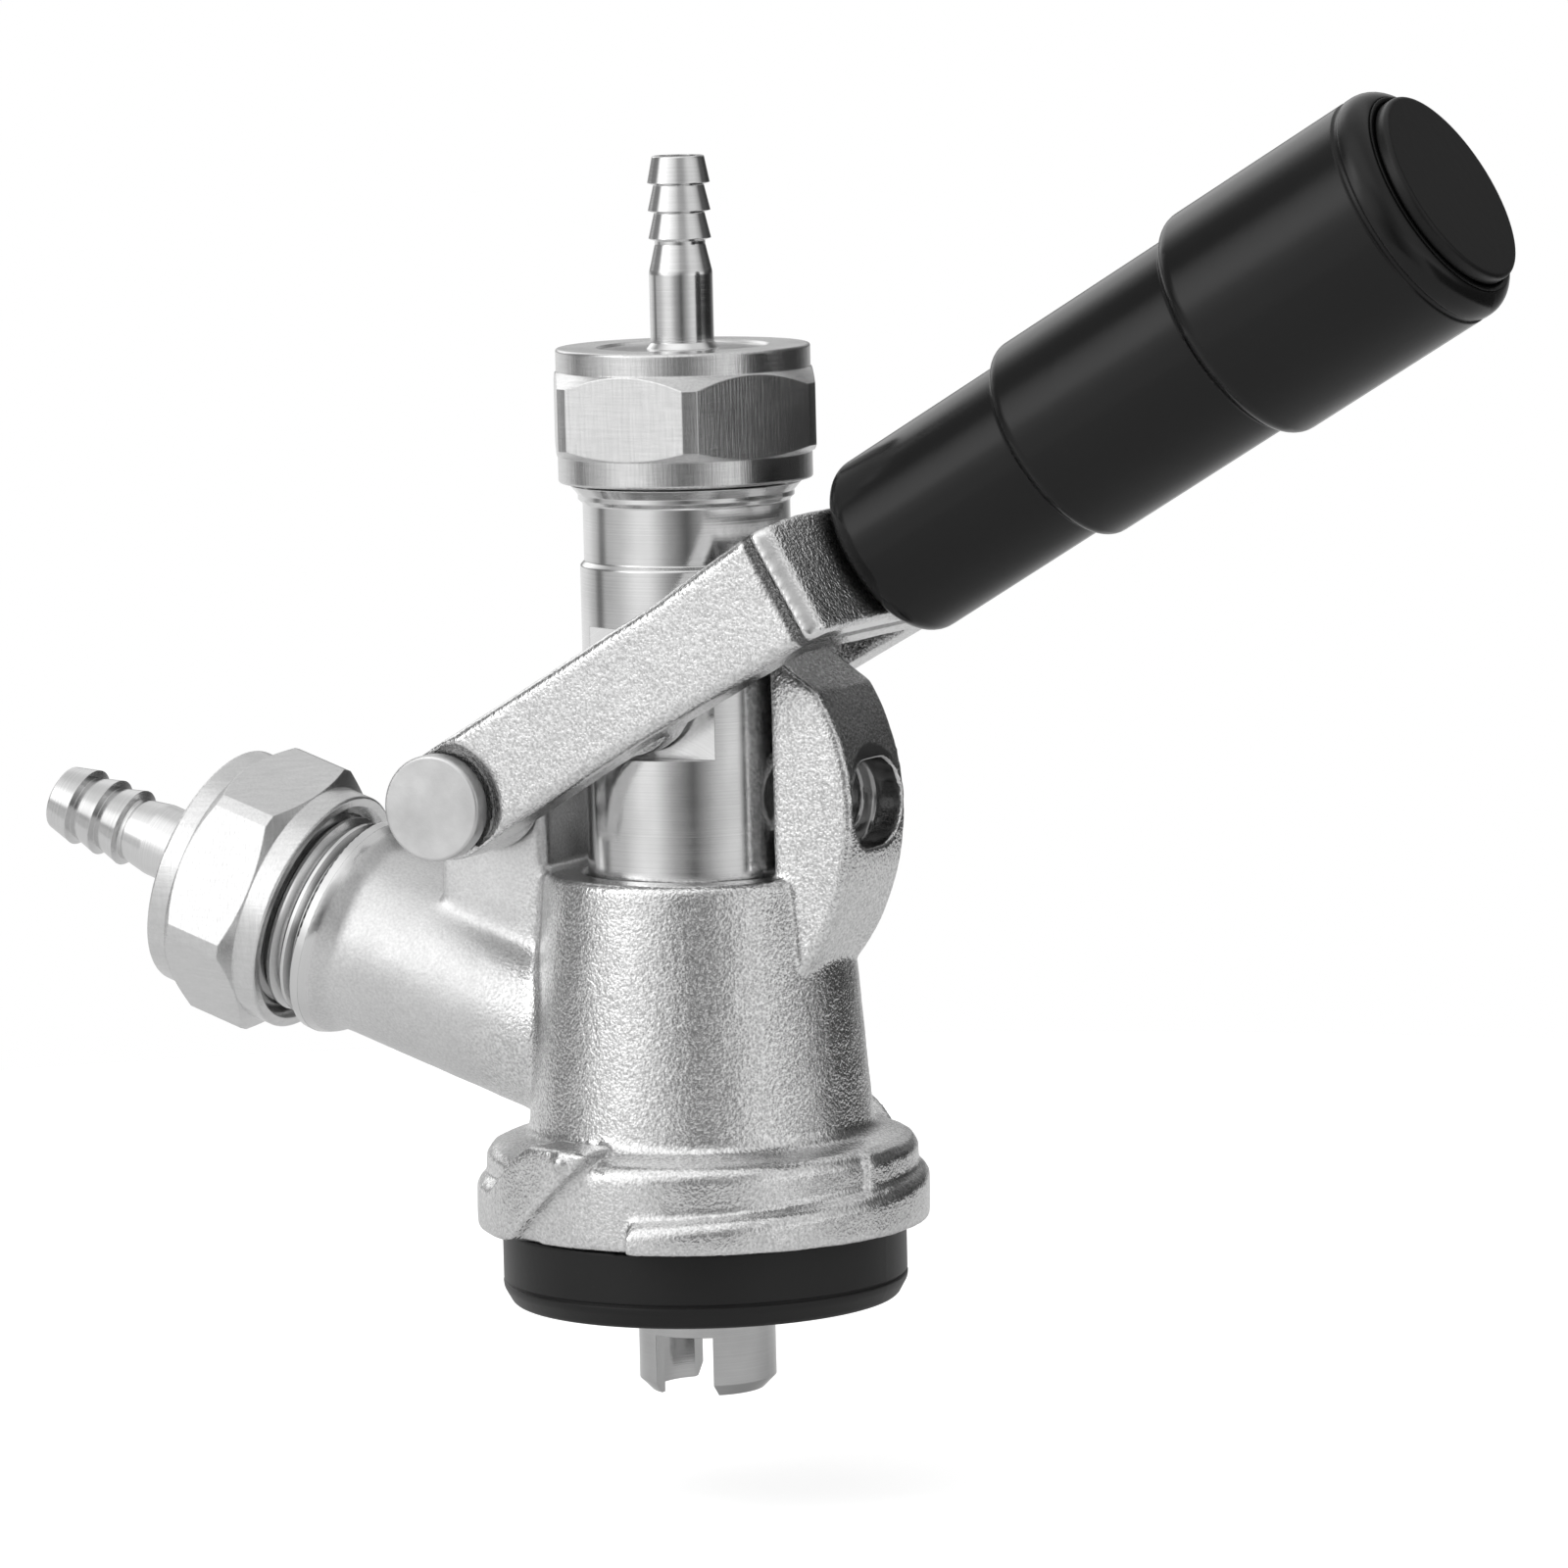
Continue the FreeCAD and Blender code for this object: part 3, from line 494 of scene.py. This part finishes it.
def lever_skin():
    piece = cast_skin("lever_fork", "cast_lever", lever_softness, lever_blending, lever_waves)
    move_points(piece, lambda points: true_bore(points, PIVOT, ACROSS, PIVOT_BORE_R, -0.02, 0.02))
    move_points(piece, lambda points: true_bore(points, PIVOT, LEVER_AXIS, HUB_BORE_R, 0.040, 0.0525))
    return piece


def finish_piece(piece, body, node, finish):
    piece.data.materials.clear()
    piece.data.materials.append(finish)
    for face in piece.data.polygons:
        face.use_smooth = True
    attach(piece, body)
    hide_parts(node)


def spring_coil():
    # The locking spring again, as a piece of its own that rides on the lever
    piece = bpy.data.objects.new("spring_coil", NODES["lock_spring"].data.copy())
    bpy.context.scene.collection.objects.link(piece)
    finish_piece(piece, "lever", "lock_spring", plain_metal("spring_steel", 0.28, 0.60))
    course, aside = off_axis(read_points(piece.data), PIVOT, LEVER_AXIS)
    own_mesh(piece)


def castings():
    body_finish = cast_metal("blasted_body", body_fade)
    finish_piece(body_skin(), "base", "body_casting", body_finish)
    lever_finish = cast_metal("blasted_lever", lever_fade)
    finish_piece(lever_skin(), "lever", "lever_fork", lever_finish)


def body_fade(tree):
    # The gas branch was ground smoother than the cone; its collar and the catch recess are machined
    run, away = along(tree, GAS_FOOT, GAS_AXIS)
    ground = between(tree, run, 0.016, 0.026, 1.0, 0.25)
    machined = between(tree, run, COLLAR_START - 0.0004, COLLAR_START + 0.0002)
    height = vector_maths(tree, "DOT_PRODUCT", place(tree), UP, "Value")
    cast = product(tree, ground, inverse(tree, machined), between(tree, height, 0.017, 0.022, 0.65, 1.0))
    blur = product(tree, between(tree, run, 0.016, 0.026, 0.03, 0.22), inverse(tree, machined))
    deep, aside = along(tree, (0.0, 0.0, CATCH_Z), (1.0, 0.0, 0.0))
    wall = band(tree, deep, (0.0170, 0.0180), (0.0217, 0.0221))
    inside = product(tree, wall, between(tree, aside, 0.0062, 0.0066, 1.0, 0.0))
    fade = product(tree, cast, inverse(tree, inside))
    # The catch recess wall gets painted shade, half as bright as the rest
    return fade, inverse(tree, product(tree, inside, 0.5)), blur


def lever_fade(tree):
    # The crease before the hub is rough and darkened with painted shade; the strip after it is smooth and
    # lightened with painted light; the hub beyond is a little lighter
    run, away = along(tree, PIVOT, LEVER_AXIS)
    before = between(tree, run, CREASE_T - 0.0002, CREASE_T + 0.0001, 0.8, 0.1)
    strip = band(tree, run, (CREASE_T - 0.0001, CREASE_T + 0.0002), (CREASE_T + 0.0015, CREASE_T + 0.0021))
    beyond = between(tree, run, CREASE_T + 0.0010, CREASE_T + 0.0026, 0.0, 2.2)
    crease = band(tree, run, (CREASE_T - 0.0016, CREASE_T - 0.0012), (CREASE_T - 0.0003, CREASE_T))
    fade = total(tree, before, beyond, product(tree, crease, 2.0))
    shade = total(tree, inverse(tree, product(tree, crease, 0.78)), product(tree, beyond, 0.05),
                  product(tree, strip, 0.12))
    return fade, shade, product(tree, beyond, 0.08)


def turned_metal(name, origin, axis, roughness=0.14, painted_shade_below=1.0):
    # Fine lathe lines round an axis, on cylinders and on end faces alike
    # Its last argument puts painted shade on what lies under the origin, below the body
    made, tree, shader = material(name, metallic=1.0)
    run, away = along(tree, origin, axis)
    course = along_only(tree, total(tree, run, away))
    lines = noise(tree, course, 5500, 3.0, 0.65)
    bands = noise(tree, course, 900, 2.0)
    stain = noise(tree, place(tree), 160, 3.0)
    normal = bump(tree, lines, 0.000013, 0.6, eased_edges(tree, 0.00015))
    tone = total(tree, product(tree, lines, 0.5), product(tree, stain, 0.5))
    shade = between(tree, run, -0.001, 0.004, painted_shade_below, 1.0)
    tint = vector_maths(tree, "SCALE", ramp(tree, tone, ((0.3, 0.6), (0.7, 0.82))))
    tree.links.new(shade, tint.node.inputs["Scale"])
    tree.links.new(tint, shader.inputs["Base Color"])
    rough = total(tree, product(tree, bands, 0.08), product(tree, stain, 0.06))
    tree.links.new(total(tree, rough, roughness - 0.07), shader.inputs["Roughness"])
    tree.links.new(normal, shader.inputs["Normal"])
    return made


def nut_metal(name, origin, axis):
    # Milled flats with fine cross hatching between turned rings
    made, tree, shader = material(name, metallic=1.0)
    run, away = along(tree, origin, axis)
    here = place(tree)
    hatch = noise(tree, vector_maths(tree, "MULTIPLY", here, (1.0, 1.0, 12.0)), 320, 2.0, 0.6)
    across = noise(tree, vector_maths(tree, "MULTIPLY", here, (14.0, 14.0, 1.0)), 280, 2.0, 0.6)
    rings = noise(tree, along_only(tree, total(tree, run, away)), 7000, 3.0, 0.6)
    stain = noise(tree, here, 140, 3.0)
    brushed = product(tree, across, 2.0)
    height = total(tree, hatch, brushed, rings)
    normal = bump(tree, height, 0.000018, 0.5, eased_edges(tree, 0.00022))
    marks = total(tree, product(tree, hatch, 0.35), product(tree, across, 0.45))
    tone = total(tree, marks, product(tree, stain, 0.2))
    tree.links.new(ramp(tree, tone, ((0.30, 0.60), (0.70, 0.76))), shader.inputs["Base Color"])
    tree.links.new(total(tree, product(tree, stain, 0.14), 0.17), shader.inputs["Roughness"])
    tree.links.new(normal, shader.inputs["Normal"])
    return made


def plain_metal(name, roughness, grey):
    # Satin stamped or drawn metal with faint rubbing
    made, tree, shader = material(name, metallic=1.0)
    here = place(tree)
    fine = noise(tree, here, 3500, 2.0)
    stain = noise(tree, here, 260, 3.0)
    tree.links.new(ramp(tree, stain, ((0.3, grey - 0.08), (0.7, grey + 0.06))), shader.inputs["Base Color"])
    rough = total(tree, product(tree, fine, 0.1), roughness - 0.05)
    tree.links.new(rough, shader.inputs["Roughness"])
    tree.links.new(bump(tree, fine, 0.00002, 0.5, eased_edges(tree, 0.0002)), shader.inputs["Normal"])
    return made


def moulded(name, grey, roughness, grain, specular=0.5, lift=0.006):
    # Moulded rubber or plastic: even colour, faint orange peel and handling marks
    made, tree, shader = material(name, specular=specular)
    here = place(tree)
    peel = noise(tree, here, grain, 2.0)
    cloud = noise(tree, here, 70, 3.0)
    specks = noise(tree, here, 1300, 4.0, 0.7)
    marks = between(tree, specks, 0.66, 0.76)
    shade = total(tree, product(tree, cloud, lift), product(tree, marks, lift))
    tree.links.new(grey_color(tree, total(tree, shade, grey)), shader.inputs["Base Color"])
    rough = total(tree, product(tree, cloud, 0.1), product(tree, marks, 0.1))
    tree.links.new(total(tree, rough, roughness - 0.05), shader.inputs["Roughness"])
    tree.links.new(bump(tree, peel, 0.00004, 0.25, eased_edges(tree, 0.0003)), shader.inputs["Normal"])
    return made


def milky(name):
    # Clear soft rubber that looks milky in the mass
    made, tree, shader = material(name)
    cloud = noise(tree, place(tree), 220, 3.0)
    tree.links.new(ramp(tree, cloud, ((0.3, 0.72), (0.7, 0.86))), shader.inputs["Base Color"])
    tree.links.new(total(tree, product(tree, cloud, 0.2), 0.25), shader.inputs["Roughness"])
    shader.inputs["Transmission Weight"].default_value = 0.35
    shader.inputs["IOR"].default_value = 1.41
    return made


def dress(names, finish):
    # Gives each named node of the frame its finish
    for name in names:
        piece = NODES[name]
        for slot in piece.material_slots:
            slot.material = finish


def finishes():
    dress(["probe", "beer_tailpiece"], turned_metal("turned_upright", ORIGIN, UP, painted_shade_below=0.70))
    dress(["gas_tailpiece"], turned_metal("turned_gas", GAS_FOOT, GAS_AXIS, roughness=0.20))
    dress(["locking_rod"], turned_metal("turned_rod", PIVOT, LEVER_AXIS))
    dress(["beer_union_nut"], nut_metal("beer_nut_metal", ORIGIN, UP))
    dress(["gas_union_nut"], nut_metal("gas_nut_metal", GAS_FOOT, GAS_AXIS))
    dress(["pivot_pin"], plain_metal("pin_satin", 0.33, 0.61))
    dress(["pivot_clip", "grip_washer", "grip_nut"], plain_metal("spring_wire", 0.28, 0.60))
    rubber = moulded("black_rubber", 0.006, 0.38, 1500, specular=0.27)
    dress(["body_seal", "bore_orings", "probe_seal"], rubber)
    dress(["handle_grip"], moulded("grip_gloss", 0.005, 0.18, 420, specular=0.26, lift=0.002))
    dress(["end_cap"], moulded("cap_satin", 0.006, 0.32, 900, specular=0.22, lift=0.003))
    dress(["gas_check_valve", "beer_washer"], milky("milky_rubber"))
    white = moulded("white_moulding", 0.78, 0.40, 1200, lift=0.05)
    dress(["ball_cage", "rod_bush", "end_bush", "check_ball"], white)


def camera_axes(azimuth, elevation, roll):
    # The directions to the camera, to its right and up
    a = math.radians(azimuth)
    e = math.radians(elevation)
    back = Vector((math.sin(a) * math.cos(e), -math.cos(a) * math.cos(e), math.sin(e)))
    right = Vector((math.cos(a), math.sin(a), 0.0))
    up = back.cross(right)
    c = math.cos(math.radians(roll))
    s = math.sin(math.radians(roll))
    return back, right * c + up * s, up * c - right * s


def add_camera():
    back, right, up = camera_axes(CAM_AZIMUTH, CAM_ELEVATION, CAM_ROLL)
    data = bpy.data.cameras.new("camera")
    data.lens = CAM_LENS
    data.sensor_width = 36.0
    data.clip_start = 0.01
    data.clip_end = 20.0
    camera = bpy.data.objects.new("camera", data)
    turn = Matrix((right, up, back)).transposed().to_4x4()
    camera.matrix_world = Matrix.Translation(CAM_TARGET + back * CAM_DISTANCE) @ turn
    bpy.context.scene.collection.objects.link(camera)
    bpy.context.scene.camera = camera


def add_softbox(name, azimuth, elevation, distance, width, height, power):
    # Angles are given like the camera's
    back, right, up = camera_axes(azimuth, elevation, 0.0)
    data = bpy.data.lights.new(name, "AREA")
    data.shape = "RECTANGLE"
    data.size = width
    data.size_y = height
    data.energy = power
    lamp = bpy.data.objects.new(name, data)
    turn = Matrix((right, up, back)).transposed().to_4x4()
    lamp.matrix_world = Matrix.Translation(CAM_TARGET + back * distance) @ turn
    lamp.visible_glossy = False
    bpy.context.scene.collection.objects.link(lamp)


def add_world():
    # White for the camera; what the metal mirrors is a bright tent with dark flags
    world = bpy.data.worlds.new("studio")
    bpy.context.scene.world = world
    world.use_nodes = True
    tree = world.node_tree
    back, right, up = camera_axes(CAM_AZIMUTH, 0.0, 0.0)
    direction = tree.nodes.new("ShaderNodeTexCoord").outputs["Generated"]
    sideways = vector_maths(tree, "DOT_PRODUCT", direction, right, "Value")
    toward = vector_maths(tree, "DOT_PRODUCT", direction, back, "Value")
    height = vector_maths(tree, "DOT_PRODUCT", direction, UP, "Value")
    turn = maths(tree, "DIVIDE", maths(tree, "ARCTAN2", sideways, toward), 2 * math.pi)
    turn = total(tree, turn, 0.5)
    low, high, raised = [ramp(tree, turn, [(angle / 360 + 0.5, grey) for angle, grey in stops])
                         for stops in (BELOW_HORIZON, ABOVE_HORIZON, RAISED)]
    tent = mix_colors(tree, between(tree, height, -0.06, 0.05), low, high)
    tent = mix_colors(tree, between(tree, height, 0.08, 0.20), tent, raised)
    tent = mix_colors(tree, between(tree, height, 0.55, 0.80), tent, (OVERHEAD, OVERHEAD, OVERHEAD, 1.0))
    main, aside, above = camera_axes(GLOW_AZIMUTH + CAM_AZIMUTH, GLOW_ELEVATION, 0.0)
    facing = vector_maths(tree, "DOT_PRODUCT", direction, main, "Value")
    glow = product(tree, between(tree, facing, 0.62, 0.97), GLOW_LEVEL)
    tent = mix_colors(tree, 1.0, tent, grey_color(tree, glow), "ADD")
    path = tree.nodes.new("ShaderNodeLightPath")
    mirrored = maths(tree, "MAXIMUM", path.outputs["Is Glossy Ray"], path.outputs["Is Transmission Ray"])
    seen = mix_colors(tree, mirrored, (0.80, 0.80, 0.80, 1.0), tent)
    seen = mix_colors(tree, path.outputs["Is Camera Ray"], seen, (1.0, 1.0, 1.0, 1.0))
    tree.links.new(seen, tree.nodes["Background"].inputs["Color"])


def add_floor():
    middle = (0.0, 0.0, FLOOR_Z)
    bpy.ops.mesh.primitive_circle_add(vertices=96, radius=FLOOR_R, fill_type="NGON", location=middle)
    floor = bpy.context.active_object
    floor.name = "floor"
    made = bpy.data.materials.new("pale_floor")
    made.use_nodes = True
    tree = made.node_tree
    shader = tree.nodes["Principled BSDF"]
    shader.inputs["Roughness"].default_value = 0.8
    shader.inputs["Specular IOR Level"].default_value = 0.1
    tint = ramp(tree, noise(tree, place(tree), 40), ((0.3, 0.62), (0.7, 0.64)))
    tree.links.new(tint, shader.inputs["Base Color"])
    shader.inputs["Emission Color"].default_value = (1.0, 1.0, 1.0, 1.0)
    path = tree.nodes.new("ShaderNodeLightPath")
    shine = product(tree, path.outputs["Is Camera Ray"], 0.55)
    tree.links.new(shine, shader.inputs["Emission Strength"])
    floor.data.materials.append(made)


def add_studio():
    add_world()
    add_softbox("key_light", -35, 42, 1.1, 0.8, 0.6, 6.0)
    add_softbox("side_light", 85, 30, 1.2, 0.4, 0.7, 2.5)
    add_floor()
    bpy.context.scene.view_settings.view_transform = "Standard"


castings()
spring_coil()
finishes()
add_camera()
add_studio()
